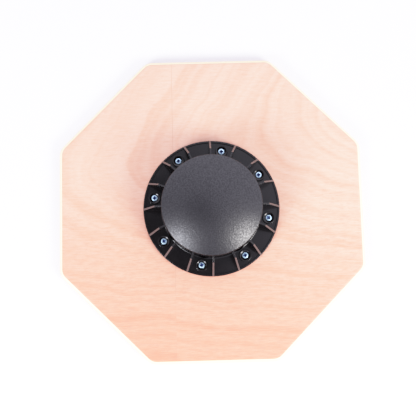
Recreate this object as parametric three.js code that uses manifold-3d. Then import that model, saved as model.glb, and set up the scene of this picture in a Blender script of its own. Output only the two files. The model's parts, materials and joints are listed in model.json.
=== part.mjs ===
// Octagonal plywood balance board with a ribbed, domed rocker base, lying on its standing face.
//
// Units are millimetres, +Z is up. The origin is the centre of the standing face, on the floor, and
// the dome points up. The octagon's flats face +X, -X, +Y and -Y.
//
// The board is a stack of veneers: two face sheets with a splice, nine core plies and the
// standing-face veneer. The rocker base is one hollow moulding, held by eight pan-head wood screws.

import * as THREE from 'three';
import { mergeVertices } from 'three/addons/utils/BufferGeometryUtils.js';
import Module from 'manifold-3d';

const wasm = await Module();
wasm.setup();

// ---- Driving dimensions ----------------------------------------------------------------------

// Board
const BOARD_ACROSS_FLATS = 400;
const BOARD_CORNER_RADIUS = 20;
const BOARD_THICKNESS = 15;
const EDGE_ROUND = 7;           // radius of the round-over along both faces
const FACE_VENEER = 0.5;        // thickness of a face veneer
const CORE_PLIES = 9;
const CORE_PLY = (BOARD_THICKNESS - 2 * FACE_VENEER) / CORE_PLIES;
const SPLICE_X = -49;           // where the two underside face sheets meet

// Rocker base, with heights measured from the board's underside face
const FLANGE_RADIUS = 88.75;
const FLANGE_THICKNESS = 3;
const LIP_WIDTH = 2.7;          // raised lip round the flange
const LIP_HEIGHT = 4.9;
const LIP_EASE = 0.6;           // chamfer on the lip's two top edges
const WALL_FOOT_RADIUS = 64;    // wall's outside, just above its foot fillet
const FOOT_FILLET = 2.4;
const DOME_EDGE_RADIUS = 62.8;
const DOME_EDGE_HEIGHT = 48.15;
const DOME_EDGE_ROUND = 1.1;
const DOME_SPHERE_RADIUS = 126;
const SHELL = 3;                // thickness of the wall and the dome

const RIB_COUNT = 16;
const RIB_THICKNESS = 2.4;
const RIB_FOOT_RADIUS = 88.4;
const RIB_KINK_RADIUS = 71.25;  // where the steep outer edge meets the gentle top
const RIB_KINK_HEIGHT = 43.4;
const RIB_TOP_HEIGHT = 45.9;    // where the gentle top meets the wall

const WEB_COUNT = 8;            // stiffening webs inside the dome
const WEB_THICKNESS = 2;
const HUB_RADIUS = 11;
const HUB_BORE_RADIUS = 8;
const WEB_CLEARANCE = 0.5;      // webs and hub stop this far above the board

// Screws and their bosses
const SCREW_COUNT = 8;
const SCREW_PITCH_RADIUS = 75.25;
const FIRST_SCREW_ANGLE = THREE.MathUtils.degToRad(78.75);
const BOSS_RADIUS = 7.75;
const BOSS_HEIGHT = 6.75;
const BOSS_EASE = 0.4;          // chamfer on the boss's rim
const COUNTERBORE_RADIUS = 4.8;
const MOUTH_WIDTH = 1.9;        // shallow chamfer round the counterbore's mouth
const MOUTH_DEPTH = 1;
const SEAT_HEIGHT = 3.5;        // the screw head sits here
const CLEARANCE_HOLE_RADIUS = 2.75;
const HEAD_RADIUS = 4;
const HEAD_HEIGHT = 2.5;
const HEAD_CROWN = 0.3;         // rise of the slightly domed top
const HEAD_RIM = 0.6;           // rounding of the head's rim
const THREAD_RADIUS = 2.1;
const THREAD_CORE_RADIUS = 1.5;
const THREAD_PITCH = 2.2;
const SCREW_LENGTH = 16;        // under the head
const POINT_LENGTH = 3;
const PLAIN_SHANK = 1.2;        // unthreaded length just under the head
const RECESS_SPAN = 4.8;
const RECESS_SLOT = 1.6;
const RECESS_DEPTH = 1.6;
const PILOT_RADIUS = 2.5;

// Facets
const ROUND_SEGMENTS = 48;      // around the rocker base
const DOME_STEPS = 7;           // from the dome's edge to its apex
const CEILING_STEPS = 4;        // the same on the dome's inside
const FILLET_STEPS = 2;
const CORNER_STEPS = 2;
const EDGE_STEPS = 4;
const RIM_STEPS = 2;
const HEAD_SEGMENTS = 16;
const SHANK_SEGMENTS = 8;
const HOLE_SEGMENTS = 16;
const PILOT_SEGMENTS = 8;

const OVERLAP = 1;              // how far cutters and joined pieces run past each other

// ---- Solids ----------------------------------------------------------------------------------

function toSolid(geometry) {
  const bare = geometry.clone();
  bare.deleteAttribute('normal');
  bare.deleteAttribute('uv');
  const welded = mergeVertices(bare);
  const index = welded.index.array;
  const triangles = [];
  for (let i = 0; i < index.length; i += 3) {
    const [a, b, c] = [index[i], index[i + 1], index[i + 2]];
    if (a !== b && b !== c && c !== a) triangles.push(a, b, c);
  }
  const mesh = new wasm.Mesh({
    numProp: 3,
    vertProperties: new Float32Array(welded.attributes.position.array),
    triVerts: new Uint32Array(triangles),
  });
  return new wasm.Manifold(mesh);
}

function toGeometry(solid) {
  const mesh = solid.getMesh();
  const geometry = new THREE.BufferGeometry();
  geometry.setAttribute('position', new THREE.BufferAttribute(mesh.vertProperties, 3));
  geometry.setIndex(new THREE.BufferAttribute(mesh.triVerts, 1));
  geometry.computeVertexNormals();
  return geometry;
}

// A solid of revolution about Z from [radius, height] points that go anticlockwise.
function turned(points, segments) {
  const profile = points.map(([radius, height]) => new THREE.Vector2(radius, height));
  return toSolid(new THREE.LatheGeometry(profile, segments).rotateX(Math.PI / 2));
}

function cylinder(radius, low, high, x, y, segments) {
  const shape = new THREE.CylinderGeometry(radius, radius, high - low, segments);
  return toSolid(shape.rotateX(Math.PI / 2).translate(x, y, (low + high) / 2));
}

// Points on an arc round a centre in the [radius, height] plane, from one angle to another.
function arc(centre, radius, from, to, steps) {
  const points = [];
  for (let i = 0; i <= steps; i += 1) {
    const angle = from + ((to - from) * i) / steps;
    points.push([centre[0] + radius * Math.cos(angle), centre[1] + radius * Math.sin(angle)]);
  }
  return points;
}

function screwPlaces() {
  const places = [];
  for (let i = 0; i < SCREW_COUNT; i += 1) {
    const angle = FIRST_SCREW_ANGLE - (i * 2 * Math.PI) / SCREW_COUNT;
    places.push([SCREW_PITCH_RADIUS * Math.cos(angle), SCREW_PITCH_RADIUS * Math.sin(angle)]);
  }
  return places;
}

// ---- Board -----------------------------------------------------------------------------------

// An octagon with rounded corners, its flats facing the axes.
function octagonOutline(acrossFlats, cornerRadius) {
  const shape = new THREE.Shape();
  const centreDistance = (acrossFlats / 2 - cornerRadius) / Math.cos(Math.PI / 8);
  for (let i = 0; i < 8; i += 1) {
    const corner = Math.PI / 8 + (i * Math.PI) / 4;
    const x = centreDistance * Math.cos(corner);
    const y = centreDistance * Math.sin(corner);
    shape.absarc(x, y, cornerRadius, corner - Math.PI / 8, corner + Math.PI / 8, false);
  }
  shape.closePath();
  return shape;
}

// The whole board before it is split into plies, with both edges rounded over.
function boardBlank() {
  const outline = octagonOutline(BOARD_ACROSS_FLATS - 2 * EDGE_ROUND, BOARD_CORNER_RADIUS - EDGE_ROUND);
  const blank = new THREE.ExtrudeGeometry(outline, {
    depth: BOARD_THICKNESS - 2 * EDGE_ROUND,
    bevelEnabled: true,
    bevelThickness: EDGE_ROUND,
    bevelSize: EDGE_ROUND,
    bevelSegments: EDGE_STEPS,
    curveSegments: CORNER_STEPS,
  });
  return toSolid(blank.translate(0, 0, EDGE_ROUND));
}

function slab(xLow, xHigh, zLow, zHigh) {
  const box = new THREE.BoxGeometry(xHigh - xLow, BOARD_ACROSS_FLATS + 2 * OVERLAP, zHigh - zLow);
  return toSolid(box.translate((xLow + xHigh) / 2, 0, (zLow + zHigh) / 2));
}

function drilled(ply) {
  let result = ply;
  for (const [x, y] of screwPlaces()) {
    const low = -OVERLAP;
    const high = BOARD_THICKNESS + OVERLAP;
    result = result.subtract(cylinder(PILOT_RADIUS, low, high, x, y, PILOT_SEGMENTS));
  }
  return result;
}

// ---- Rocker base -----------------------------------------------------------------------------

const DOME_CENTRE_HEIGHT = DOME_EDGE_HEIGHT - Math.sqrt(DOME_SPHERE_RADIUS ** 2 - DOME_EDGE_RADIUS ** 2);
const DOME_CENTRE = [0, DOME_CENTRE_HEIGHT];

// Angle, seen from the dome's centre, of a point at this distance from the axis.
function domeAngle(radius, sphereRadius) {
  return Math.acos(radius / sphereRadius);
}

function domeShell() {
  const innerSphere = DOME_SPHERE_RADIUS - SHELL;
  const ceilingRadius = DOME_EDGE_RADIUS - SHELL;
  const edge = DOME_EDGE_RADIUS - DOME_EDGE_ROUND;
  const edgeAngle = domeAngle(edge, DOME_SPHERE_RADIUS);
  const edgeTop = DOME_CENTRE_HEIGHT + DOME_SPHERE_RADIUS * Math.sin(edgeAngle);
  const filletCentre = [WALL_FOOT_RADIUS + FOOT_FILLET, FLANGE_THICKNESS + FOOT_FILLET];
  const lipInside = FLANGE_RADIUS - LIP_WIDTH;
  const ceiling = arc(
    DOME_CENTRE, innerSphere, Math.PI / 2, domeAngle(ceilingRadius, innerSphere), CEILING_STEPS);
  const dome = arc(DOME_CENTRE, DOME_SPHERE_RADIUS, edgeAngle, Math.PI / 2, DOME_STEPS);
  ceiling[0][0] = 0;
  dome[DOME_STEPS][0] = 0;
  return turned([
    ...ceiling,
    [WALL_FOOT_RADIUS - SHELL, 0],
    [FLANGE_RADIUS, 0],
    [FLANGE_RADIUS, LIP_HEIGHT - LIP_EASE],
    [FLANGE_RADIUS - LIP_EASE, LIP_HEIGHT],
    [lipInside + LIP_EASE, LIP_HEIGHT],
    [lipInside, FLANGE_THICKNESS],
    ...arc(filletCentre, FOOT_FILLET, 1.5 * Math.PI, Math.PI, FILLET_STEPS),
    [DOME_EDGE_RADIUS, edgeTop - DOME_EDGE_ROUND],
    ...dome,
  ], ROUND_SEGMENTS);
}

// A thin upright plate in the plane of an [radius, height] outline, turned to an azimuth.
function radialPlate(points, thickness, azimuth) {
  const outline = new THREE.Shape(points.map(([radius, height]) => new THREE.Vector2(radius, height)));
  const plate = new THREE.ExtrudeGeometry(outline, { depth: thickness, bevelEnabled: false });
  return toSolid(plate.rotateX(Math.PI / 2).translate(0, thickness / 2, 0).rotateZ(azimuth));
}

function outerRib(azimuth) {
  const inside = WALL_FOOT_RADIUS - SHELL + OVERLAP / 2;
  return radialPlate([
    [inside, FLANGE_THICKNESS - OVERLAP],
    [RIB_FOOT_RADIUS, FLANGE_THICKNESS - OVERLAP],
    [RIB_FOOT_RADIUS, LIP_HEIGHT],
    [RIB_KINK_RADIUS, RIB_KINK_HEIGHT],
    [inside, RIB_TOP_HEIGHT + (WALL_FOOT_RADIUS - inside) / 2],
  ], RIB_THICKNESS, azimuth);
}

// The space that the webs and the hub fill, running a little way into the shell.
function domeInterior() {
  const sphere = DOME_SPHERE_RADIUS - SHELL + OVERLAP;
  const radius = DOME_EDGE_RADIUS - SHELL + OVERLAP;
  const roof = arc(DOME_CENTRE, sphere, domeAngle(radius, sphere), Math.PI / 2, CEILING_STEPS);
  roof[CEILING_STEPS][0] = 0;
  return turned([[0, WEB_CLEARANCE], [radius, WEB_CLEARANCE], ...roof], ROUND_SEGMENTS);
}

function websAndHub() {
  const top = DOME_EDGE_HEIGHT + DOME_SPHERE_RADIUS;
  const middle = (HUB_RADIUS + HUB_BORE_RADIUS) / 2;
  let result = cylinder(HUB_RADIUS, 0, top, 0, 0, HEAD_SEGMENTS);
  for (let i = 0; i < WEB_COUNT; i += 1) {
    const outline = [[middle, 0], [DOME_EDGE_RADIUS, 0], [DOME_EDGE_RADIUS, top], [middle, top]];
    result = result.add(radialPlate(outline, WEB_THICKNESS, (i * 2 * Math.PI) / WEB_COUNT));
  }
  return result
    .intersect(domeInterior())
    .subtract(cylinder(HUB_BORE_RADIUS, -OVERLAP, DOME_EDGE_HEIGHT, 0, 0, HEAD_SEGMENTS));
}

function boss([x, y]) {
  const shape = turned([
    [0, FLANGE_THICKNESS - OVERLAP],
    [BOSS_RADIUS, FLANGE_THICKNESS - OVERLAP],
    [BOSS_RADIUS, BOSS_HEIGHT - BOSS_EASE],
    [BOSS_RADIUS - BOSS_EASE, BOSS_HEIGHT],
    [0, BOSS_HEIGHT],
  ], HOLE_SEGMENTS);
  return shape.translate(x, y, 0);
}

function bossCutter([x, y]) {
  const cutter = turned([
    [0, -OVERLAP],
    [CLEARANCE_HOLE_RADIUS, -OVERLAP],
    [CLEARANCE_HOLE_RADIUS, SEAT_HEIGHT],
    [COUNTERBORE_RADIUS, SEAT_HEIGHT],
    [COUNTERBORE_RADIUS, BOSS_HEIGHT - MOUTH_DEPTH],
    [COUNTERBORE_RADIUS + MOUTH_WIDTH, BOSS_HEIGHT],
    [COUNTERBORE_RADIUS + MOUTH_WIDTH, BOSS_HEIGHT + OVERLAP],
    [0, BOSS_HEIGHT + OVERLAP],
  ], HOLE_SEGMENTS);
  return cutter.translate(x, y, 0);
}

function rockerBase() {
  let base = domeShell().add(websAndHub());
  for (let i = 0; i < RIB_COUNT; i += 1) {
    base = base.add(outerRib((i * 2 * Math.PI) / RIB_COUNT));
  }
  for (const place of screwPlaces()) {
    base = base.add(boss(place)).subtract(bossCutter(place));
  }
  return base;
}

// ---- Screws ----------------------------------------------------------------------------------

// Pan-head wood screw with its seat at the origin and its point down.
function screw() {
  const rimCentre = [HEAD_RADIUS - HEAD_RIM, HEAD_HEIGHT - HEAD_CROWN - HEAD_RIM];
  const head = turned([
    [0, 0],
    [HEAD_RADIUS, 0],
    ...arc(rimCentre, HEAD_RIM, 0, Math.PI / 2, RIM_STEPS),
    [HEAD_RADIUS / 2, HEAD_HEIGHT - HEAD_CROWN / 3],
    [0, HEAD_HEIGHT],
  ], HEAD_SEGMENTS);

  const thread = [[0, -SCREW_LENGTH]];
  for (let z = -SCREW_LENGTH + POINT_LENGTH; z < -PLAIN_SHANK - THREAD_PITCH; z += THREAD_PITCH) {
    thread.push([THREAD_CORE_RADIUS, z]);
    thread.push([THREAD_RADIUS, z + THREAD_PITCH * 0.5]);
  }
  const shank = turned([
    ...thread,
    [THREAD_CORE_RADIUS, -PLAIN_SHANK],
    [THREAD_CORE_RADIUS, HEAD_HEIGHT / 2],
    [0, HEAD_HEIGHT / 2],
  ], SHANK_SEGMENTS);

  let body = head.add(shank);
  for (const turn of [0, Math.PI / 2]) {
    const slot = new THREE.BoxGeometry(RECESS_SPAN, RECESS_SLOT, 2 * RECESS_DEPTH);
    body = body.subtract(toSolid(slot.rotateZ(turn + Math.PI / 4).translate(0, 0, HEAD_HEIGHT)));
  }
  return body;
}

// ---- Assembly --------------------------------------------------------------------------------

const finishes = {
  faceVeneer: { color: 0xf3cfba, roughness: 0.55, metalness: 0 },
  longPly: { color: 0xf2e2c0, roughness: 0.7, metalness: 0 },
  crossPly: { color: 0xe3cba1, roughness: 0.75, metalness: 0 },
  blackPlastic: { color: 0x1d1c1f, roughness: 0.3, metalness: 0 },
  zinc: { color: 0xc9d8ea, roughness: 0.25, metalness: 1 },
};

const board = new THREE.Group();

function addPiece(parent, name, geometry, finish) {
  const mesh = new THREE.Mesh(geometry, new THREE.MeshStandardMaterial(finishes[finish]));
  mesh.name = name;
  parent.add(mesh);
  return mesh;
}

const blank = boardBlank();
const outside = BOARD_ACROSS_FLATS / 2 + OVERLAP;
const underside = BOARD_THICKNESS - FACE_VENEER;

function ply(xLow, xHigh, zLow, zHigh) {
  return blank.intersect(slab(xLow, xHigh, zLow, zHigh));
}

addPiece(board, 'underside_veneer_left',
  toGeometry(drilled(ply(-outside, SPLICE_X, underside, BOARD_THICKNESS))), 'faceVeneer');
addPiece(board, 'underside_veneer_right',
  toGeometry(drilled(ply(SPLICE_X, outside, underside, BOARD_THICKNESS))), 'faceVeneer');
addPiece(board, 'standing_face_veneer',
  toGeometry(ply(-outside, outside, 0, FACE_VENEER)), 'faceVeneer');

const screwReach = BOARD_THICKNESS + SEAT_HEIGHT - SCREW_LENGTH;
for (let i = 1; i <= CORE_PLIES; i += 1) {
  const top = underside - (i - 1) * CORE_PLY;
  const sheet = ply(-outside, outside, top - CORE_PLY, top);
  const solid = top > screwReach ? drilled(sheet) : sheet;
  addPiece(board, `core_ply_${i}`, toGeometry(solid), i % 2 ? 'crossPly' : 'longPly');
}

const rocker = new THREE.Group();
rocker.position.z = BOARD_THICKNESS;
addPiece(rocker, 'rocker_base', toGeometry(rockerBase()), 'blackPlastic');

screwPlaces().forEach(([x, y], i) => {
  const piece = addPiece(rocker, `base_screw_${i + 1}`, toGeometry(screw()), 'zinc');
  piece.position.set(x, y, SEAT_HEIGHT);
});

const group = new THREE.Group();
group.add(board, rocker);

export default group;
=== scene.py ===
"""An octagonal plywood balance board, lying on its standing face with its rocker base upwards.

Everything is in metres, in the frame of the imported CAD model: the origin is the centre of the standing
face, on the floor, and the dome points along +Z. The board's plies, the moulded base and the screws are
each built again here as fine meshes, from the sizes of the CAD nodes that they stand for.
"""

import json
import math

import bpy
import numpy as np
from mathutils import Matrix, Vector

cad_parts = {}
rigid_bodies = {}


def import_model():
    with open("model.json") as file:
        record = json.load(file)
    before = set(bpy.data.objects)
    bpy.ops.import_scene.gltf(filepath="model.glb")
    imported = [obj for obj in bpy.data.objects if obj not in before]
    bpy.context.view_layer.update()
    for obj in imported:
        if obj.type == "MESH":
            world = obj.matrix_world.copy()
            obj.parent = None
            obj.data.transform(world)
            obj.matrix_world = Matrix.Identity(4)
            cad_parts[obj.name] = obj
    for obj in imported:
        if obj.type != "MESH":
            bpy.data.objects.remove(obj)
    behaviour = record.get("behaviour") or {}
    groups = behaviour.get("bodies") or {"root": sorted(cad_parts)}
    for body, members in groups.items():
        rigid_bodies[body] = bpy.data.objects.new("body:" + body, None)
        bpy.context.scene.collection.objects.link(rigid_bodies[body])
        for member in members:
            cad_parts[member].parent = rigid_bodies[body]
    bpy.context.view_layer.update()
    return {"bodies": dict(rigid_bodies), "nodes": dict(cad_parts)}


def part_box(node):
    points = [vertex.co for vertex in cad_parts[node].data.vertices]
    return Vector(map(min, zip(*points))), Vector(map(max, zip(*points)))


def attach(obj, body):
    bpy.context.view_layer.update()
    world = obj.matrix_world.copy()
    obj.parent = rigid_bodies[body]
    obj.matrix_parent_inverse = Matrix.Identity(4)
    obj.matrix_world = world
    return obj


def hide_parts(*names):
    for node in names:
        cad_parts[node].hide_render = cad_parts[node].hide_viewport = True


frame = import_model()

MM = 0.001
BODY = next(iter(frame["bodies"]))

# ---- Sizes read from the frame ---------------------------------------------------------------

CORE_PLIES = sorted(node for node in frame["nodes"] if node.startswith("core_ply_"))
SCREW_NODES = sorted(node for node in frame["nodes"] if node.startswith("base_screw_"))
_, middle_ply_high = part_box(CORE_PLIES[len(CORE_PLIES) // 2])
HALF_WIDTH = middle_ply_high.x
veneer_low, veneer_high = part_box("underside_veneer_right")
BOARD_TOP = veneer_high.z
SPLICE_X = veneer_low.x
_, base_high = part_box("rocker_base")
FLANGE_RADIUS = base_high.x
APEX_HEIGHT = base_high.z - BOARD_TOP

# ---- Details of the board --------------------------------------------------------------------

EDGE_ROUND = 7 * MM
CORNER_RADIUS = 20 * MM
PILOT_RADIUS = 2.5 * MM
CAP_INSET = 1 * MM  # a ply's flat faces begin this far in from its edge

# ---- Details of the rocker base, with heights above the board --------------------------------

FLANGE_THICKNESS = 3 * MM
FLANGE_FOOT_INSET = 0.4 * MM
LIP_WIDTH = 2.7 * MM
LIP_HEIGHT = 4.9 * MM
LIP_EASE = 0.8 * MM
LIP_INNER_EASE = 0.3 * MM
WALL_FOOT_RADIUS = 64 * MM
FOOT_FILLET = 2.4 * MM
DOME_EDGE_RADIUS = 62.8 * MM
DOME_SPHERE_RADIUS = 126 * MM
DOME_EDGE_ROUND = 1.1 * MM
WALL_SPAN = (10 * MM, 47.5 * MM)  # heights that the wall's rows run between
SHELL = 3 * MM
ROOT_DEPTH = 0.5 * MM  # ribs and bosses start this far inside the flange

RIB_COUNT = 16
RIB_HALF_THICKNESS = 1.05 * MM
RIB_DRAFT = 0.006
RIB_FOOT_RADIUS = 88.3 * MM
RIB_KINK_RADIUS = 71.25 * MM
RIB_KINK_HEIGHT = 43.4 * MM
RIB_TOP_HEIGHT = 45.9 * MM
# How far below a rib's steep outer edge the painted reflection, a paler grey, reaches.
RIB_SHEEN_BAND = 0.8 * MM
RIB_EDGE_ROUND = 0.3 * MM
RIB_FLOOR_FILLET = 0.2 * MM
RIB_WALL_FILLET = 0.5 * MM

WEB_COUNT = 8
WEB_THICKNESS = 2 * MM
HUB_RADIUS = 11 * MM
HUB_BORE_RADIUS = 8 * MM
HUB_BORE_DEPTH = 50 * MM
WEB_BLANK_HEIGHT = 90 * MM  # before the dome's inside trims the webs and the hub
WEB_CLEARANCE = 0.5 * MM

BOSS_RADIUS = 7.75 * MM
BOSS_HEIGHT = 6.75 * MM
BOSS_RIM_ROUND = 0.25 * MM
BOSS_FOOT_FILLET = 0.5 * MM
COUNTERBORE_RADIUS = 4.8 * MM
COUNTERBORE_FILLET = 0.4 * MM
MOUTH_ROUND = 6.2 * MM
MOUTH_SLOPES = (18, 38)
SEAT_HEIGHT = 3.5 * MM
CLEARANCE_HOLE_RADIUS = 2.75 * MM
CLEARANCE_HOLE_DEPTH = 6 * MM

# ---- Details of the screws -------------------------------------------------------------------

THREAD_RADIUS = 2.1 * MM
THREAD_CORE_RADIUS = 1.45 * MM
THREAD_PITCH = 1.8 * MM
PLAIN_SHANK = 1.2 * MM
POINT_LENGTH = 3.5 * MM
HEAD_CROWN_RADIUS = 26 * MM
HEAD_RIM_ROUND = 0.6 * MM
HEAD_UNDER_ROUND = 0.2 * MM
RECESS_REACH = 2.7 * MM
RECESS_START = 0.05 * MM  # faces this far under the crown belong to the recess
POINT_BLUNTNESS = 0.04
CREST_WIDTH = 0.55  # share of the pitch that the thread's ridge takes

# How far each screw's cross is turned, in degrees.
SCREW_TURNS = (0, 5, 42, 12, 20, 33, 4, 12)

# The cross recess: depth, half span, half width and inner corner at each step, in mm.
RECESS_STEPS = ((-0.5, 2.7, 0.92, 1.75), (0.0, 2.5, 0.88, 1.7), (1.4, 1.7, 0.6, 1.1), (2.2, 0.3, 0.14, 0.2))

# ---- How fine the meshes are -------------------------------------------------------------------

SHELL_SEGMENTS = 256
ROOF_SEGMENTS = 128
BOSS_SEGMENTS = 64
HUB_SEGMENTS = 48
HOLE_SEGMENTS = 48
PILOT_SEGMENTS = 24
SCREW_SEGMENTS = 96
SHANK_STEPS = 72

# Distances of a rib's rows from the flange and from its free edge, in mm. They are squeezed together
# where the rib is lower than the room that they need.
RIB_ROWS_ABOVE_FLANGE = (0, 0.05, 0.15, 0.3, 0.5, 0.75, 1.0)
RIB_ROWS_BELOW_EDGE = (2.4, 1.6, 1.0, 0.6, 0.35, 0.15, 0.05, 0)
RIB_ROWS_ROOM = 3.6 * MM

# Edges sharper than this stay sharp, in degrees.
BOARD_SMOOTHING = 30
SCREW_SMOOTHING = 35

# ---- Mesh helpers ----------------------------------------------------------------------------


def make_object(name, vertices, faces):
    mesh = bpy.data.meshes.new(name)
    mesh.from_pydata([tuple(v) for v in vertices], [], faces)
    mesh.update()
    made = bpy.data.objects.new(name, mesh)
    bpy.context.scene.collection.objects.link(made)
    return made


def ring_faces(rings, count):
    """Quads between neighbouring rings of count vertices each."""
    faces = []
    for k in range(rings - 1):
        for i in range(count):
            j = (i + 1) % count
            a, b = k * count + i, k * count + j
            faces.append((a, b, b + count, a + count))
    return faces


def arc(centre, radius, start, end, steps):
    """Points on an arc in the (radius, height) plane. Angles are in degrees."""
    angles = np.radians(np.linspace(start, end, steps + 1))
    return [(centre[0] + radius * math.cos(a), centre[1] + radius * math.sin(a)) for a in angles]


def revolve(profile, segments, centre=(0, 0)):
    """Vertices and faces of a solid of revolution whose profile runs anticlockwise from axis to axis."""
    angles = np.linspace(0, 2 * math.pi, segments, endpoint=False)
    body = profile[1:-1]
    vertices = []
    for radius, height in body:
        for a in angles:
            vertices.append((centre[0] + radius * math.cos(a), centre[1] + radius * math.sin(a), height))
    faces = ring_faces(len(body), segments)
    low = len(vertices)
    vertices.append((centre[0], centre[1], profile[0][1]))
    vertices.append((centre[0], centre[1], profile[-1][1]))
    last = (len(body) - 1) * segments
    for i in range(segments):
        j = (i + 1) % segments
        faces.append((low, j, i))
        faces.append((last + i, last + j, low + 1))
    return vertices, faces


def cylinder(radius, low, high):
    """The profile of an upright cylinder, for revolve."""
    return [(0, low), (radius, low), (radius, high), (0, high)]


def join(parts):
    """One list of vertices and faces from several."""
    vertices, faces = [], []
    for part_vertices, part_faces in parts:
        offset = len(vertices)
        vertices.extend(part_vertices)
        faces.extend(tuple(i + offset for i in face) for face in part_faces)
    return vertices, faces


def combine(body, operation, vertices, faces):
    """Joins a closed mesh to body or cuts it out of body."""
    tool = make_object("tool", vertices, faces)
    modifier = body.modifiers.new("combine", "BOOLEAN")
    modifier.operation = operation
    modifier.solver = "MANIFOLD"
    modifier.object = tool
    graph = bpy.context.evaluated_depsgraph_get()
    result = bpy.data.meshes.new_from_object(body.evaluated_get(graph))
    result.materials.clear()
    body.modifiers.clear()
    body.data = result
    bpy.data.objects.remove(tool)


def smooth(made, angle=BOARD_SMOOTHING):
    """Smooth shading that keeps large faces flat right up to the fillets round them."""
    made.data.shade_smooth()
    made.data.set_sharp_from_angle(angle=math.radians(angle))
    weighted = made.modifiers.new("flat_faces", "WEIGHTED_NORMAL")
    weighted.keep_sharp = True


def screw_places():
    places = []
    for node in SCREW_NODES:
        low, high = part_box(node)
        places.append(((low.x + high.x) / 2, (low.y + high.y) / 2))
    return places


def place_piece(piece, node):
    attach(piece, BODY)
    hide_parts(node)


# ---- Shader helper ---------------------------------------------------------------------------


class Shader:
    """The node tree of a material or world, with one short call for each node."""

    def __init__(self, owner):
        self.owner = owner
        owner.use_nodes = True
        self.nodes = owner.node_tree.nodes
        self.links = owner.node_tree.links
        self.nodes.clear()

    def node(self, kind, inputs, output=0, **settings):
        made = self.nodes.new("ShaderNode" + kind)
        for key, value in settings.items():
            setattr(made, key, value)
        for key, value in inputs.items():
            if isinstance(value, bpy.types.NodeSocket):
                self.links.new(value, made.inputs[key])
            else:
                made.inputs[key].default_value = value
        return made.outputs[output] if made.outputs else None

    def math(self, operation, a, b=0.0, c=0.0):
        return self.node("Math", {0: a, 1: b, 2: c}, operation=operation)

    def mix(self, factor, a, b):
        """A colour between a and b."""
        return self.node("Mix", {0: factor, 6: a, 7: b}, output=2, data_type="RGBA")

    def tint(self, factor, color, tint):
        """A colour multiplied by a tint, as far as the factor says."""
        return self.node("Mix", {0: factor, 6: color, 7: tint}, 2, data_type="RGBA", blend_type="MULTIPLY")

    def step(self, value, low, high, to_low=0.0, to_high=1.0):
        """A smooth step from to_low to to_high as value goes from low to high."""
        inputs = {"Value": value, "From Min": low, "From Max": high, "To Min": to_low, "To Max": to_high}
        return self.node("MapRange", inputs, interpolation_type="SMOOTHSTEP")

    def noise(self, vector, scale=1.0, detail=2.0, roughness=0.5):
        inputs = {"Vector": vector, "Scale": scale, "Detail": detail, "Roughness": roughness}
        return self.node("TexNoise", inputs)

    def line_noise(self, value, scale, detail=2.0, roughness=0.5):
        inputs = {"W": value, "Scale": scale, "Detail": detail, "Roughness": roughness}
        return self.node("TexNoise", inputs, noise_dimensions="1D")

    def millimetres(self):
        place = self.node("TexCoord", {}, output=3)
        return self.node("VectorMath", {0: place, "Scale": 1000.0}, operation="SCALE")

    def stretched(self, vector, sizes):
        """The vector divided by a size on each axis, so that noise of scale 1 has features that long."""
        return self.node("VectorMath", {0: vector, 1: [1 / s for s in sizes]}, operation="MULTIPLY")

    def axis(self, vector, index):
        return self.node("SeparateXYZ", {0: vector}, output=index)

    def bump(self, height, strength, distance):
        inputs = {"Height": height, "Strength": strength, "Distance": distance}
        return self.node("Bump", inputs)

    def finish(self, **inputs):
        """The surface: inputs are the Principled shader's, with _ for each space."""
        named = {key.replace("_", " "): value for key, value in inputs.items()}
        surface = self.node("BsdfPrincipled", named)
        self.node("OutputMaterial", {"Surface": surface})
        return self.owner


def material_shader(name):
    return Shader(bpy.data.materials.new(name))


# ---- Wood ------------------------------------------------------------------------------------

# The growth rings bend round a blunt corner: they climb to the right above it and run down to the
# right below it. Each slope is sideways per upward millimetre above, and downward per sideways below.
FIGURE_CLIMB = 0.75
FIGURE_FALL_MIDDLE = 0.40
FIGURE_FALL_BOTTOM = 0.04
FIGURE_CORNER = 122
FIGURE_BLUNTNESS = 150

VENEER_LIGHT = (0.692, 0.437, 0.333, 1)
VENEER_DARK = (0.62, 0.318, 0.217, 1)
VENEER_WARMTH = (1.0, 0.70, 0.62, 1)
PORE_COLOR = (0.42, 0.22, 0.15, 1)
FLECK_COLOR = (0.50, 0.25, 0.18, 1)
SPLICE_COLOR = (0.42, 0.24, 0.17, 1)
PLY_LONG_GRAIN = (0.92, 0.77, 0.50, 1)
PLY_END_GRAIN = (0.78, 0.62, 0.37, 1)
GLUE_COLOR = (0.36, 0.22, 0.12, 1)


def figure_bands(s, place, shift):
    """Distance across the growth rings, in millimetres."""
    warp = s.noise(s.stretched(place, (95, 70, 95)), detail=1)
    ripple = s.noise(s.stretched(place, (45, 16, 45)), detail=3)
    x = s.math("SUBTRACT", s.axis(place, 0), shift[0])
    y = s.math("SUBTRACT", s.axis(place, 1), shift[1])
    above = s.math("MULTIPLY_ADD", y, -FIGURE_CLIMB, x)
    above = s.math("MULTIPLY_ADD", above, 1 / math.hypot(1, FIGURE_CLIMB), FIGURE_CORNER)
    fall = s.step(y, -170, 40, FIGURE_FALL_BOTTOM, FIGURE_FALL_MIDDLE)
    below = s.math("MULTIPLY_ADD", x, fall, y)
    ring = s.math("SMOOTH_MIN", above, below, FIGURE_BLUNTNESS)
    ring = s.math("MULTIPLY_ADD", warp, s.step(y, -80, 60, 22, 34), ring)
    return s.math("MULTIPLY_ADD", ripple, 5, ring)


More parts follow.
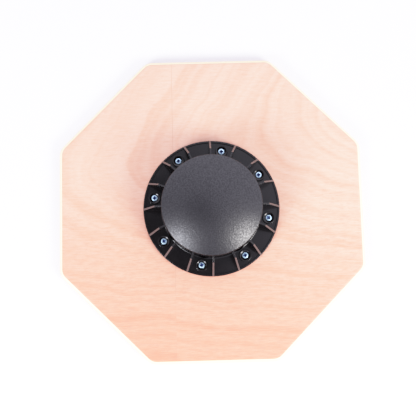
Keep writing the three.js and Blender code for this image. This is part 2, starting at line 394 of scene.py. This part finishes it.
def veneer_material(name, shift, darker):
    """Figured veneer: bands across the growth rings, streaks, pores, flecks and the dark splice line."""
    s = material_shader(name)
    place = s.millimetres()
    ring = figure_bands(s, place, shift)
    broad = s.step(s.line_noise(ring, 1 / 15, detail=1), 0.34, 0.74)
    fine = s.step(s.line_noise(ring, 1 / 6, detail=2), 0.42, 0.72)
    height = s.axis(place, 1)
    fibrous = s.step(height, 60, -60, 0.25, 0.55)
    streaks = s.step(s.noise(s.stretched(place, (16, 1.5, 1.5)), detail=4, roughness=0.6), 0.35, 0.7)
    blotches = s.noise(s.stretched(place, (14, 4, 14)), detail=4, roughness=0.6)
    tone = s.math("MULTIPLY_ADD", broad, 0.38, darker)
    tone = s.math("MULTIPLY_ADD", fine, 0.14, tone)
    tone = s.math("MULTIPLY_ADD", streaks, fibrous, tone)
    tone = s.math("MULTIPLY_ADD", s.step(blotches, 0.35, 0.7), 0.2, tone)
    color = s.mix(tone, VENEER_LIGHT, VENEER_DARK)
    # The veneer is tinted warmer and darker towards the bottom.
    warmth = s.step(s.math("MULTIPLY_ADD", s.axis(place, 0), 0.12, height), 60, -230)
    color = s.tint(warmth, color, VENEER_WARMTH)

    pores = s.step(s.noise(s.stretched(place, (4.5, 0.35, 0.35)), detail=2), 0.62, 0.72)
    color = s.mix(s.math("MULTIPLY", pores, 0.35), color, PORE_COLOR)

    from_splice = s.math("ABSOLUTE", s.math("SUBTRACT", s.axis(place, 0), SPLICE_X / MM))
    seam = s.step(from_splice, 0.55, 0.1)
    seam = s.math("MULTIPLY", seam, s.step(height, -135, -95, 0.05, 0.5))
    color = s.mix(seam, color, SPLICE_COLOR)

    flecks = s.step(s.noise(s.stretched(place, (7, 2.4, 2.4)), detail=3, roughness=0.65), 0.5, 0.68)
    color = s.mix(s.math("MULTIPLY", flecks, s.step(height, 80, -80, 0.12, 0.42)), color, FLECK_COLOR)

    relief = s.math("MULTIPLY_ADD", pores, -1.0, s.math("MULTIPLY", streaks, 0.25))
    normal = s.bump(relief, 0.35, 0.00008)
    roughness = s.math("MULTIPLY_ADD", streaks, 0.12, 0.46)
    return s.finish(Base_Color=color, Roughness=roughness, Normal=normal)


def ply_material(name, grain_axis, low, high):
    """A core ply between two heights. Its edge shows end grain where it faces along the grain."""
    s = material_shader(name)
    place = s.millimetres()
    facing = s.node("NewGeometry", {}, output=1)
    end_grain = s.step(s.math("ABSOLUTE", s.axis(facing, grain_axis)), 0.45, 0.95)
    sizes = (40, 1.2, 0.35) if grain_axis == 0 else (1.2, 40, 0.35)
    fibres = s.step(s.noise(s.stretched(place, sizes), detail=4, roughness=0.6), 0.35, 0.7)
    tubes = s.step(s.noise(place, 3.2, detail=2), 0.52, 0.66)
    broad = s.step(s.noise(s.stretched(place, (25, 25, 4)), detail=2), 0.3, 0.7)
    long_color = s.mix(s.math("MULTIPLY", fibres, 0.4), PLY_LONG_GRAIN, PLY_END_GRAIN)
    end_color = s.mix(s.math("MULTIPLY", tubes, 0.3), PLY_END_GRAIN, GLUE_COLOR)
    color = s.mix(s.math("MULTIPLY", end_grain, 0.6), long_color, end_color)
    color = s.mix(s.math("MULTIPLY", broad, 0.18), color, PLY_LONG_GRAIN)
    height = s.axis(place, 2)
    from_low = s.math("SUBTRACT", height, low / MM)
    from_high = s.math("SUBTRACT", high / MM, height)
    glue = s.step(s.math("MINIMUM", from_low, from_high), 0.13, 0.04)
    color = s.mix(s.math("MULTIPLY", glue, 0.65), color, GLUE_COLOR)
    pits = s.math("MULTIPLY", end_grain, -1.0)
    relief = s.math("MULTIPLY_ADD", tubes, pits, s.math("MULTIPLY", fibres, 0.3))
    normal = s.bump(relief, 0.4, 0.0001)
    return s.finish(Base_Color=color, Roughness=0.55, Normal=normal)


def octagon_ring(inset, height, steps=12):
    """The board's outline, moved in by inset, with rounded corners."""
    radius = CORNER_RADIUS - inset
    reach = (HALF_WIDTH - CORNER_RADIUS) / math.cos(math.pi / 8)
    points = []
    for k in range(8):
        corner = math.pi / 8 + k * math.pi / 4
        for a in np.linspace(corner - math.pi / 8, corner + math.pi / 8, steps + 1):
            x = reach * math.cos(corner) + radius * math.cos(a)
            y = reach * math.sin(corner) + radius * math.sin(a)
            points.append((x, y, height))
    return points


def edge_inset(height):
    """How far the round-over moves the outline in at a height in the board."""
    depth = EDGE_ROUND - min(height, BOARD_TOP - height)
    if depth <= 0:
        return 0.0
    return EDGE_ROUND - math.sqrt(max(EDGE_ROUND**2 - depth**2, 0))


def sheet(name, low, high, steps=8):
    """One ply of the board between two heights, before it is split or drilled."""
    heights = np.linspace(low, high, steps + 1)
    rings = [octagon_ring(edge_inset(low) + CAP_INSET, low)]
    rings += [octagon_ring(edge_inset(h), h) for h in heights]
    rings += [octagon_ring(edge_inset(high) + CAP_INSET, high)]
    count = len(rings[0])
    faces = ring_faces(len(rings), count)
    faces.append(tuple(reversed(range(count))))
    faces.append(tuple(range((len(rings) - 1) * count, len(rings) * count)))
    return make_object(name, [point for ring in rings for point in ring], faces)


def box_solid(low, high):
    x0, y0, z0 = low
    x1, y1, z1 = high
    ring = [(x0, y0), (x1, y0), (x1, y1), (x0, y1)]
    vertices = [(x, y, z0) for x, y in ring] + [(x, y, z1) for x, y in ring]
    faces = ring_faces(2, 4) + [(3, 2, 1, 0), (4, 5, 6, 7)]
    return vertices, faces


def drill(piece, low, high):
    hole = cylinder(PILOT_RADIUS, low - MM, high + MM)
    combine(piece, "DIFFERENCE", *join([revolve(hole, PILOT_SEGMENTS, place) for place in screw_places()]))


def build_ply(node, material, drilled):
    low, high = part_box(node)
    piece = sheet(node.replace("core_", "board_") if "core" in node else "standing_face", low.z, high.z)
    if drilled:
        drill(piece, low.z, high.z)
    piece.data.materials.append(material)
    smooth(piece)
    place_piece(piece, node)


def build_underside_sheet(node, name, material):
    """Half of the underside's veneer, cut along the splice."""
    low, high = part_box(node)
    piece = sheet(name, low.z, high.z)
    far = 2 * HALF_WIDTH
    x_low, x_high = (-far, low.x) if low.x == SPLICE_X else (high.x, far)
    combine(piece, "DIFFERENCE", *box_solid((x_low, -far, -far), (x_high, far, far)))
    drill(piece, low.z, high.z)
    piece.data.materials.append(material)
    smooth(piece)
    place_piece(piece, node)


def build_board():
    screw_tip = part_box(SCREW_NODES[0])[0].z
    for number, node in enumerate(CORE_PLIES, 1):
        low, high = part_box(node)
        cross = number % 2 == 1
        material = ply_material(f"ply_{number}", 1 if cross else 0, low.z, high.z)
        build_ply(node, material, high.z > screw_tip)
    standing = veneer_material("standing_face", (60, -90), 0.05)
    build_ply("standing_face_veneer", standing, False)
    left = veneer_material("underside_left", (2, 7), 0.06)
    right = veneer_material("underside_right", (0, 0), 0.0)
    build_underside_sheet("underside_veneer_left", "underside_sheet_left", left)
    build_underside_sheet("underside_veneer_right", "underside_sheet_right", right)


# ---- Rocker base -----------------------------------------------------------------------------

DOME_CENTRE = (0, APEX_HEIGHT - DOME_SPHERE_RADIUS)
EDGE_ANGLE = math.degrees(math.acos(
    (DOME_EDGE_RADIUS - DOME_EDGE_ROUND) / (DOME_SPHERE_RADIUS - DOME_EDGE_ROUND)))


def edge_round_centre():
    reach = DOME_SPHERE_RADIUS - DOME_EDGE_ROUND
    angle = math.radians(EDGE_ANGLE)
    return (reach * math.cos(angle), DOME_CENTRE[1] + reach * math.sin(angle))


def wall_radius(height):
    """The wall's outside, which leans in towards the dome's edge."""
    share = (height - FLANGE_THICKNESS - FOOT_FILLET) / (
        edge_round_centre()[1] - FLANGE_THICKNESS - FOOT_FILLET)
    return WALL_FOOT_RADIUS + (DOME_EDGE_RADIUS - WALL_FOOT_RADIUS) * share


def shell_profile():
    """The base's section: up under the ceiling, out along the foot and back over the dome."""
    inner_sphere = DOME_SPHERE_RADIUS - SHELL
    ceiling_end = math.degrees(math.acos((DOME_EDGE_RADIUS - SHELL) / inner_sphere))
    lip_in = FLANGE_RADIUS - LIP_WIDTH
    return [
        *arc(DOME_CENTRE, inner_sphere, 90, ceiling_end, 10),
        (WALL_FOOT_RADIUS - SHELL, 0),
        (FLANGE_RADIUS - FLANGE_FOOT_INSET, 0),
        *arc((FLANGE_RADIUS - LIP_EASE, LIP_HEIGHT - LIP_EASE), LIP_EASE, 0, 90, 6),
        *arc((lip_in + LIP_INNER_EASE, LIP_HEIGHT - LIP_INNER_EASE), LIP_INNER_EASE, 90, 180, 4),
        *arc((lip_in - LIP_INNER_EASE, FLANGE_THICKNESS + LIP_INNER_EASE), LIP_INNER_EASE, 0, -90, 4),
        *arc((WALL_FOOT_RADIUS + FOOT_FILLET, FLANGE_THICKNESS + FOOT_FILLET), FOOT_FILLET, 270, 180, 10),
        *[(wall_radius(h), h) for h in np.linspace(*WALL_SPAN, 8)],
        *arc(edge_round_centre(), DOME_EDGE_ROUND, 0, EDGE_ANGLE, 6),
        *arc(DOME_CENTRE, DOME_SPHERE_RADIUS, EDGE_ANGLE, 90, 48)[1:],
    ]


def rib_top(radius):
    """The height of the rib's free edge: a gentle slope to the kink, then a steep one to the lip."""
    inner_slope = (RIB_TOP_HEIGHT - RIB_KINK_HEIGHT) / (RIB_KINK_RADIUS - wall_radius(RIB_TOP_HEIGHT))
    outer_slope = (RIB_KINK_HEIGHT - LIP_HEIGHT) / (RIB_FOOT_RADIUS - RIB_KINK_RADIUS)
    slope = inner_slope if radius < RIB_KINK_RADIUS else outer_slope
    return RIB_KINK_HEIGHT + (RIB_KINK_RADIUS - radius) * slope


def rib_column(radius):
    """Heights from inside the flange up to the free edge, close together at the fillet and the edge."""
    top = rib_top(radius)
    squeeze = min(1.0, (top - FLANGE_THICKNESS) / RIB_ROWS_ROOM) * MM
    low = [FLANGE_THICKNESS + row * squeeze for row in RIB_ROWS_ABOVE_FLANGE]
    high = [top - row * squeeze for row in RIB_ROWS_BELOW_EDGE]
    middle = list(np.linspace(low[-1], high[0], 6)[1:-1])
    return [FLANGE_THICKNESS - ROOT_DEPTH] + low + middle + high


def rib_radii():
    """Radii of the columns, close together at the wall's fillet, the kink and the foot."""
    wall = WALL_FOOT_RADIUS / MM
    kink = RIB_KINK_RADIUS / MM
    foot = RIB_FOOT_RADIUS / MM
    spans = [(wall - 2, wall - 1, 3), (wall - 0.8, wall + 2.2, 13), (wall + 2.8, kink - 1, 6)]
    spans += [(kink - 0.6, kink + 0.6, 7), (kink + 1.2, foot - 1.5, 16), (foot - 1, foot, 4)]
    return [radius * MM for low, high, count in spans for radius in np.linspace(low, high, count)]


def distance_to_line(point, start, end):
    direction = (end - start) / np.linalg.norm(end - start)
    offset = point - start
    return abs(direction[0] * offset[1] - direction[1] * offset[0])


def fillet(distance, radius):
    """How far a concave fillet stands out at a distance from the surface it meets."""
    gap = min(max(distance, 0), radius)
    return radius - math.sqrt(radius**2 - (radius - gap) ** 2)


def rib_half_thickness(point, edges):
    radius, height = point
    half = RIB_HALF_THICKNESS + RIB_DRAFT * max(RIB_KINK_HEIGHT - height, 0)
    to_edge = min(distance_to_line(point, *edge) for edge in edges)
    half -= fillet(to_edge, RIB_EDGE_ROUND)
    half += fillet(height - FLANGE_THICKNESS, RIB_FLOOR_FILLET)
    half += fillet(radius - wall_radius(height), RIB_WALL_FILLET)
    return half


def rib(azimuth):
    """One radial rib: two mirrored sheets whose distance apart holds its fillets and rounded edges."""
    kink = np.array((RIB_KINK_RADIUS, RIB_KINK_HEIGHT))
    start = np.array((WALL_FOOT_RADIUS, rib_top(WALL_FOOT_RADIUS)))
    foot = np.array((RIB_FOOT_RADIUS, LIP_HEIGHT))
    edges = [(start, kink), (kink, foot)]
    grid = [[np.array((radius, h)) for h in rib_column(radius)] for radius in rib_radii()]
    rows, columns = len(grid), len(grid[0])
    cos, sin = math.cos(azimuth), math.sin(azimuth)
    vertices = []
    for side in (1, -1):
        for row in grid:
            for point in row:
                half = side * rib_half_thickness(point, edges)
                vertices.append((point[0] * cos - half * sin, point[0] * sin + half * cos, point[1]))
    other = rows * columns
    faces = []
    for i in range(rows - 1):
        for j in range(columns - 1):
            a = i * columns + j
            faces.append((a, a + 1, a + columns + 1, a + columns))
            faces.append((other + a, other + a + columns, other + a + columns + 1, other + a + 1))
    loop = [i * columns for i in range(rows)]
    loop += [(rows - 1) * columns + j for j in range(1, columns)]
    loop += [i * columns + columns - 1 for i in reversed(range(rows - 1))]
    loop += list(reversed(range(1, columns - 1)))
    for a, b in zip(loop, loop[1:] + loop[:1]):
        faces.append((a, b, other + b, other + a))
    return vertices, faces


def boss(place):
    """A counterbored screw boss with a rounded rim and a dished mouth, closed underneath."""
    foot = BOSS_RADIUS + BOSS_FOOT_FILLET
    under = FLANGE_THICKNESS - ROOT_DEPTH
    shallow, steep = MOUTH_SLOPES
    mouth_centre = (
        COUNTERBORE_RADIUS + MOUTH_ROUND * math.sin(math.radians(steep)),
        BOSS_HEIGHT - MOUTH_ROUND * math.cos(math.radians(shallow)),
    )
    floor_edge = (COUNTERBORE_RADIUS - COUNTERBORE_FILLET, SEAT_HEIGHT + COUNTERBORE_FILLET)
    profile = [
        (0, under),
        (foot, under),
        *arc((foot, FLANGE_THICKNESS + BOSS_FOOT_FILLET), BOSS_FOOT_FILLET, 270, 180, 5),
        *arc((BOSS_RADIUS - BOSS_RIM_ROUND, BOSS_HEIGHT - BOSS_RIM_ROUND), BOSS_RIM_ROUND, 0, 90, 4),
        *arc(mouth_centre, MOUTH_ROUND, 90 + shallow, 90 + steep, 8),
        *arc(floor_edge, COUNTERBORE_FILLET, 0, -90, 4),
        (0, SEAT_HEIGHT),
    ]
    return revolve(profile, BOSS_SEGMENTS, place)


def plate(radius_low, radius_high, height, thickness, azimuth):
    """An upright radial plate that stands on the board."""
    vertices, faces = box_solid((radius_low, -thickness / 2, 0), (radius_high, thickness / 2, height))
    cos, sin = math.cos(azimuth), math.sin(azimuth)
    return [(x * cos - y * sin, x * sin + y * cos, z) for x, y, z in vertices], faces


def webs_and_hub():
    """The stiffening inside the dome, trimmed to run a little way into the shell."""
    hub = make_object("webs", *revolve(cylinder(HUB_RADIUS, 0, WEB_BLANK_HEIGHT), HUB_SEGMENTS))
    middle = (HUB_RADIUS + HUB_BORE_RADIUS) / 2
    for k in range(WEB_COUNT):
        azimuth = k * 2 * math.pi / WEB_COUNT
        combine(hub, "UNION", *plate(middle, DOME_EDGE_RADIUS, WEB_BLANK_HEIGHT, WEB_THICKNESS, azimuth))
    sphere = DOME_SPHERE_RADIUS - SHELL / 2
    reach = DOME_EDGE_RADIUS - SHELL / 2
    roof = arc(DOME_CENTRE, sphere, math.degrees(math.acos(reach / sphere)), 90, 10)
    combine(hub, "INTERSECT", *revolve([(0, WEB_CLEARANCE), (reach, WEB_CLEARANCE), *roof], ROOF_SEGMENTS))
    combine(hub, "DIFFERENCE", *revolve(cylinder(HUB_BORE_RADIUS, -MM, HUB_BORE_DEPTH), HUB_SEGMENTS))
    return hub


def merge_object(body, tool):
    vertices = [tuple(v.co) for v in tool.data.vertices]
    faces = [tuple(face.vertices) for face in tool.data.polygons]
    bpy.data.objects.remove(tool)
    combine(body, "UNION", vertices, faces)


def build_rocker_base():
    base = make_object("rocker_moulding", *revolve(shell_profile(), SHELL_SEGMENTS))
    ribs = [rib(k * 2 * math.pi / RIB_COUNT) for k in range(RIB_COUNT)]
    combine(base, "UNION", *join(ribs))
    combine(base, "UNION", *join([boss(place) for place in screw_places()]))
    hole = cylinder(CLEARANCE_HOLE_RADIUS, -MM, CLEARANCE_HOLE_DEPTH)
    combine(base, "DIFFERENCE", *join([revolve(hole, HOLE_SEGMENTS, place) for place in screw_places()]))
    merge_object(base, webs_and_hub())
    base.data.transform(Matrix.Translation((0, 0, BOARD_TOP)))
    base.data.materials.append(gloss_plastic())
    base.data.materials.append(satin_plastic())
    base.data.materials.append(painted_sheen_plastic())
    for face in base.data.polygons:
        face.material_index = base_finish(face)
    smooth(base)
    place_piece(base, "rocker_base")


def base_finish(face):
    """0 for the polished faces, 1 for the spark-eroded dome and 2 for the ribs' outer edges, whose paler
    grey is a painted reflection.
    """
    radius = math.hypot(face.center.x, face.center.y)
    height = face.center.z - BOARD_TOP
    if radius < DOME_EDGE_RADIUS - DOME_EDGE_ROUND and height > RIB_TOP_HEIGHT and face.normal.z > 0.5:
        return 1
    if radius < RIB_KINK_RADIUS or height < LIP_HEIGHT:
        return 0
    return 2 if rib_top(radius) - height < RIB_SHEEN_BAND else 0


def gloss_plastic():
    """The moulding's polished faces, with a slight flow pattern."""
    s = material_shader("gloss_black_moulding")
    place = s.millimetres()
    flow = s.noise(s.stretched(place, (14, 14, 14)), detail=3)
    haze = s.noise(place, 1.6, detail=3)
    roughness = s.math("MULTIPLY_ADD", flow, 0.10, 0.12)
    normal = s.bump(s.math("MULTIPLY_ADD", haze, 0.2, flow), 0.12, 0.0002)
    color = s.mix(flow, (0.003, 0.0018, 0.002, 1), (0.005, 0.0034, 0.0036, 1))
    return s.finish(Base_Color=color, Roughness=roughness, Normal=normal, IOR=1.46)


def satin_plastic():
    """Spark-eroded dome: fine pits, a slightly mottled sheen and faint sinks over the webs inside."""
    s = material_shader("satin_black_dome")
    place = s.millimetres()
    pits = s.noise(place, 0.9, detail=5, roughness=0.7)
    mottle = s.noise(s.stretched(place, (1.8, 1.8, 1.8)), detail=3, roughness=0.6)
    broad = s.noise(s.stretched(place, (30, 30, 30)), detail=2)
    color = s.mix(mottle, (0.0045, 0.004, 0.0055, 1), (0.008, 0.0068, 0.0095, 1))
    sheen = s.step(mottle, 0.35, 0.65, 0.38, 0.28)
    roughness = s.math("MULTIPLY_ADD", broad, 0.06, sheen)
    angle = s.math("ARCTAN2", s.axis(place, 1), s.axis(place, 0))
    flat = s.node("VectorMath", {0: place, 1: (1, 1, 0)}, operation="MULTIPLY")
    radius = s.node("VectorMath", {0: flat}, output=1, operation="LENGTH")
    off_web = s.math("ABSOLUTE", s.math("SINE", s.math("MULTIPLY", angle, WEB_COUNT / 2)))
    off_web = s.math("MULTIPLY", off_web, s.math("MULTIPLY", radius, 2 / WEB_COUNT))
    sink = s.math("MULTIPLY", s.step(off_web, 0.0, 2.5), s.step(radius, 12, 30, 0.0, 1.0))
    normal = s.node("Bump", {"Height": sink, "Strength": 0.25, "Distance": 0.0001})
    texture = s.math("MULTIPLY_ADD", pits, 0.4, s.math("MULTIPLY", mottle, 0.75))
    normal = s.node("Bump", {"Height": texture, "Strength": 0.6, "Distance": 0.0005, "Normal": normal})
    sparkle = s.step(s.math("ADD", pits, mottle), 0.8, 1.2, 0.37, 0.63)
    return s.finish(
        Base_Color=color, Roughness=roughness, Normal=normal, IOR=1.6, Specular_IOR_Level=sparkle
    )


def painted_sheen_plastic():
    """The ribs' outer edges: rougher than the polished faces, with a paler grey painted on as the
    reflection of the bright room.
    """
    s = material_shader("black_edge_painted_sheen")
    place = s.millimetres()
    edge_sheen_noise = s.noise(s.stretched(place, (0.8, 0.8, 3)), detail=4, roughness=0.65)
    # Paler grey patches: a painted reflection of the bright room on the rounded edge.
    color = s.mix(s.step(edge_sheen_noise, 0.35, 0.65), (0.030, 0.028, 0.030, 1), (0.075, 0.070, 0.075, 1))
    roughness = s.math("MULTIPLY_ADD", edge_sheen_noise, 0.15, 0.22)
    return s.finish(Base_Color=color, Roughness=roughness, Normal=s.bump(edge_sheen_noise, 0.3, 0.0002), IOR=1.55)


# ---- Screws ----------------------------------------------------------------------------------


def head_profile(seat, top, radius):
    """The pan head's section, from its crown out over the rounded rim and in under the head."""
    crown_centre = (0, top - HEAD_CROWN_RADIUS)
    rim = radius - HEAD_RIM_ROUND
    reach = HEAD_CROWN_RADIUS - HEAD_RIM_ROUND
    crown_edge = math.acos(rim / reach)
    rim_centre = (rim, crown_centre[1] + reach * math.sin(crown_edge))
    return [
        *arc(crown_centre, HEAD_CROWN_RADIUS, 90, math.degrees(crown_edge), 8),
        *arc(rim_centre, HEAD_RIM_ROUND, math.degrees(crown_edge), 0, 8)[1:],
        *arc((radius - HEAD_UNDER_ROUND, seat + HEAD_UNDER_ROUND), HEAD_UNDER_ROUND, 0, -90, 3),
        (THREAD_CORE_RADIUS, seat),
    ]


def cross_outline(span, half_width, corner, turn):
    """A cross whose inner corners are cut off, as a recess's are round its middle."""
    quarter = [(span, -half_width), (span, half_width), (corner, half_width), (half_width, corner)]
    points = []
    for k in range(4):
        angle = turn + k * math.pi / 2
        cos, sin = math.cos(angle), math.sin(angle)
        points += [(x * cos - y * sin, x * sin + y * cos) for x, y in quarter]
    return points


def cross_recess(centre, top, turn):
    """The tapered plug that cuts a screw's cross recess."""
    rings = []
    for depth, span, half_width, corner in RECESS_STEPS:
        for x, y in cross_outline(span * MM, half_width * MM, corner * MM, turn):
            rings.append((centre.x + x, centre.y + y, top - depth * MM))
    count = len(rings) // len(RECESS_STEPS)
    faces = [tuple(reversed(face)) for face in ring_faces(len(RECESS_STEPS), count)]
    faces.append(tuple(range(count)))
    last = (len(RECESS_STEPS) - 1) * count
    faces.append(tuple(reversed(range(last, last + count))))
    return rings, faces


def screw_shank(seat, tip, angles):
    """Rings of the threaded shank from under the head to the point."""
    rings = []
    for height in np.linspace(seat, tip, SHANK_STEPS)[1:]:
        taper = min(1.0, (height - tip) / POINT_LENGTH + POINT_BLUNTNESS)
        threaded = min(max((seat - PLAIN_SHANK - height) / THREAD_PITCH, 0.0), 1.0)
        ring = []
        for a in angles:
            phase = (height / THREAD_PITCH - a / (2 * math.pi)) % 1.0
            crest = max(0.0, 1 - abs(2 * phase - 1) / CREST_WIDTH) * threaded
            radius = taper * (THREAD_CORE_RADIUS + (THREAD_RADIUS - THREAD_CORE_RADIUS) * crest)
            ring.append((radius * math.cos(a), radius * math.sin(a), height))
        rings.append(ring)
    return rings


def build_screw(node, number, materials):
    low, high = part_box(node)
    centre = Vector(((low.x + high.x) / 2, (low.y + high.y) / 2, 0))
    seat = BOARD_TOP + SEAT_HEIGHT
    angles = np.linspace(0, 2 * math.pi, SCREW_SEGMENTS, endpoint=False)
    rings = []
    for radius, height in head_profile(seat, high.z, (high.x - low.x) / 2)[1:]:
        rings.append([(radius * math.cos(a), radius * math.sin(a), height) for a in angles])
    rings += screw_shank(seat, low.z, angles)
    faces = [tuple(reversed(face)) for face in ring_faces(len(rings), SCREW_SEGMENTS)]
    faces.append(tuple(range(SCREW_SEGMENTS)))
    last = (len(rings) - 1) * SCREW_SEGMENTS
    faces.append(tuple(reversed(range(last, last + SCREW_SEGMENTS))))
    piece = make_object(f"pan_screw_{number}", [Vector(p) + centre for ring in rings for p in ring], faces)
    combine(piece, "DIFFERENCE", *cross_recess(centre, high.z, math.radians(SCREW_TURNS[number - 1])))
    for material in materials:
        piece.data.materials.append(material)
    crown = high.z - HEAD_CROWN_RADIUS
    for face in piece.data.polygons:
        offset = face.center - centre
        below_crown = HEAD_CROWN_RADIUS - math.hypot(offset.x, offset.y, face.center.z - crown)
        in_recess = math.hypot(offset.x, offset.y) < RECESS_REACH and below_crown > RECESS_START
        # Faces inside the recess take the darker blue of painted shade.
        face.material_index = 1 if in_recess and face.center.z > seat else 0
    smooth(piece, SCREW_SMOOTHING)
    place_piece(piece, node)


def zinc_material():
    """Bright plating with a thin blue passivation."""
    s = material_shader("blue_zinc")
    place = s.millimetres()
    grain = s.noise(place, 2.2, detail=4, roughness=0.6)
    color = s.mix(grain, (0.56, 0.80, 1.0, 1), (0.68, 0.90, 1.0, 1))
    roughness = s.math("MULTIPLY_ADD", grain, 0.12, 0.38)
    normal = s.bump(grain, 0.15, 0.00006)
    return s.finish(Base_Color=color, Metallic=1.0, Roughness=roughness, Normal=normal)


def recess_shade_material():
    """The zinc inside the cross recess: the plating's own blue, darkened as painted shade."""
    s = material_shader("dark_blue_recess_shade")
    grain = s.noise(s.millimetres(), 3.0, detail=3)
    # Much darker than the head's zinc: painted shade inside the recess.
    color = s.mix(grain, (0.05, 0.09, 0.26, 1), (0.09, 0.15, 0.36, 1))
    return s.finish(Base_Color=color, Metallic=0.8, Roughness=0.45, Normal=s.bump(grain, 0.2, 0.00005))


def build_screws():
    materials = (zinc_material(), recess_shade_material())
    for number, node in enumerate(SCREW_NODES, 1):
        build_screw(node, number, materials)


# ---- Stage -----------------------------------------------------------------------------------

FLOOR_HALF_SIZE = 3.0
CAMERA_TARGET = Vector((-0.0046, 0.0005, BOARD_TOP))
CAMERA_DISTANCE = 0.7863
CAMERA_AZIMUTH = math.radians(-94.8)
CAMERA_ELEVATION = math.radians(84.23)
CAMERA_ROLL = math.radians(-1.49)
CAMERA_LENS = 51.92

# How strongly the studio shines at its front, at its back and in its dark patch, and where these are.
WORLD_COLOR = (0.87, 0.85, 1.0, 1)
WORLD_FRONT = 0.95
WORLD_BACK = 2.0
WORLD_DARK = 0.15
BRIGHT_SIDE = (0.45, 0.89, 0.0)
DARK_PLACE = (math.radians(192), math.radians(78))

# Each softbox's azimuth and elevation in degrees, and its distance from the board's middle.
KEY_PLACE = (-38, 33, 1.6)
SECOND_PLACE = (222, 32, 1.7)
KEY_POWER = 27
SECOND_POWER = 26.5
SOFTBOX_SIZE = 0.62

# Scene brightness and what it is shown as: a soft shoulder keeps the pale wood from clipping.
SHOULDER_WHITE = 1.7
SHOULDER = ((0.25, 0.25), (0.5, 0.5), (0.75, 0.72), (1.0, 0.87), (1.3, 0.955))


def direction(azimuth, elevation):
    flat = math.cos(elevation)
    return Vector((flat * math.cos(azimuth), flat * math.sin(azimuth), math.sin(elevation)))


def aimed(location, target, roll=0.0):
    """A matrix at location whose -Z points at the target and whose +Y leans towards world +Y."""
    back = (location - target).normalized()
    right = Vector((0, 1, 0)).cross(back).normalized()
    up = back.cross(right)
    turn = Matrix((right, up, back)).transposed().to_4x4()
    return Matrix.Translation(location) @ turn @ Matrix.Rotation(roll, 4, "Z")


def build_floor():
    h = FLOOR_HALF_SIZE
    floor = make_object("floor", [(-h, -h, 0), (h, -h, 0), (h, h, 0), (-h, h, 0)], [(0, 1, 2, 3)])
    s = material_shader("white_floor")
    grain = s.noise(s.millimetres(), 0.02, detail=3)
    color = s.mix(grain, (0.77, 0.77, 0.79, 1), (0.81, 0.81, 0.83, 1))
    floor.data.materials.append(s.finish(Base_Color=color, Roughness=0.8))


def build_softbox(name, place, power, color):
    light = bpy.data.lights.new(name, "AREA")
    light.shape = "SQUARE"
    light.size = SOFTBOX_SIZE
    light.energy = power
    light.color = color
    made = bpy.data.objects.new(name, light)
    bpy.context.scene.collection.objects.link(made)
    target = Vector((0, 0, BOARD_TOP))
    azimuth, elevation, distance = place
    away = direction(math.radians(azimuth), math.radians(elevation))
    made.matrix_world = aimed(target + distance * away, target)


def build_world():
    """A pale, slightly blue studio, brightest at the back, with a dark patch that the dome mirrors."""
    world = bpy.data.worlds.new("studio")
    bpy.context.scene.world = world
    s = Shader(world)
    way = s.node("TexCoord", {}, output=0)
    to_bright = s.node("VectorMath", {0: way, 1: BRIGHT_SIDE}, output=1, operation="DOT_PRODUCT")
    level = s.step(to_bright, -1.0, 1.0, WORLD_FRONT, WORLD_BACK)
    to_dark = s.node("VectorMath", {0: way, 1: direction(*DARK_PLACE)}, output=1, operation="DOT_PRODUCT")
    strength = s.math("MULTIPLY", level, s.step(to_dark, 0.935, 0.985, 1.0, WORLD_DARK))
    background = s.node("Background", {"Color": WORLD_COLOR, "Strength": strength})
    s.node("OutputWorld", {"Surface": background})


def build_camera():
    camera = bpy.data.cameras.new("camera")
    camera.lens = CAMERA_LENS
    camera.sensor_width = 36
    camera.clip_start = 0.01
    made = bpy.data.objects.new("camera", camera)
    bpy.context.scene.collection.objects.link(made)
    location = CAMERA_TARGET + CAMERA_DISTANCE * direction(CAMERA_AZIMUTH, CAMERA_ELEVATION)
    made.matrix_world = aimed(location, CAMERA_TARGET, CAMERA_ROLL)
    bpy.context.scene.camera = made


def build_view():
    view = bpy.context.scene.view_settings
    view.view_transform = "Standard"
    view.use_curve_mapping = True
    mapping = view.curve_mapping
    mapping.white_level = (SHOULDER_WHITE, SHOULDER_WHITE, SHOULDER_WHITE)
    for brightness, shown in SHOULDER:
        mapping.curves[3].points.new(brightness / SHOULDER_WHITE, shown)
    mapping.update()


def build_stage():
    build_floor()
    build_world()
    build_softbox("key_softbox", KEY_PLACE, KEY_POWER, (1.0, 0.98, 0.96))
    build_softbox("second_softbox", SECOND_PLACE, SECOND_POWER, (0.92, 0.93, 1.0))
    build_camera()
    build_view()


build_board()
build_rocker_base()
build_screws()
build_stage()
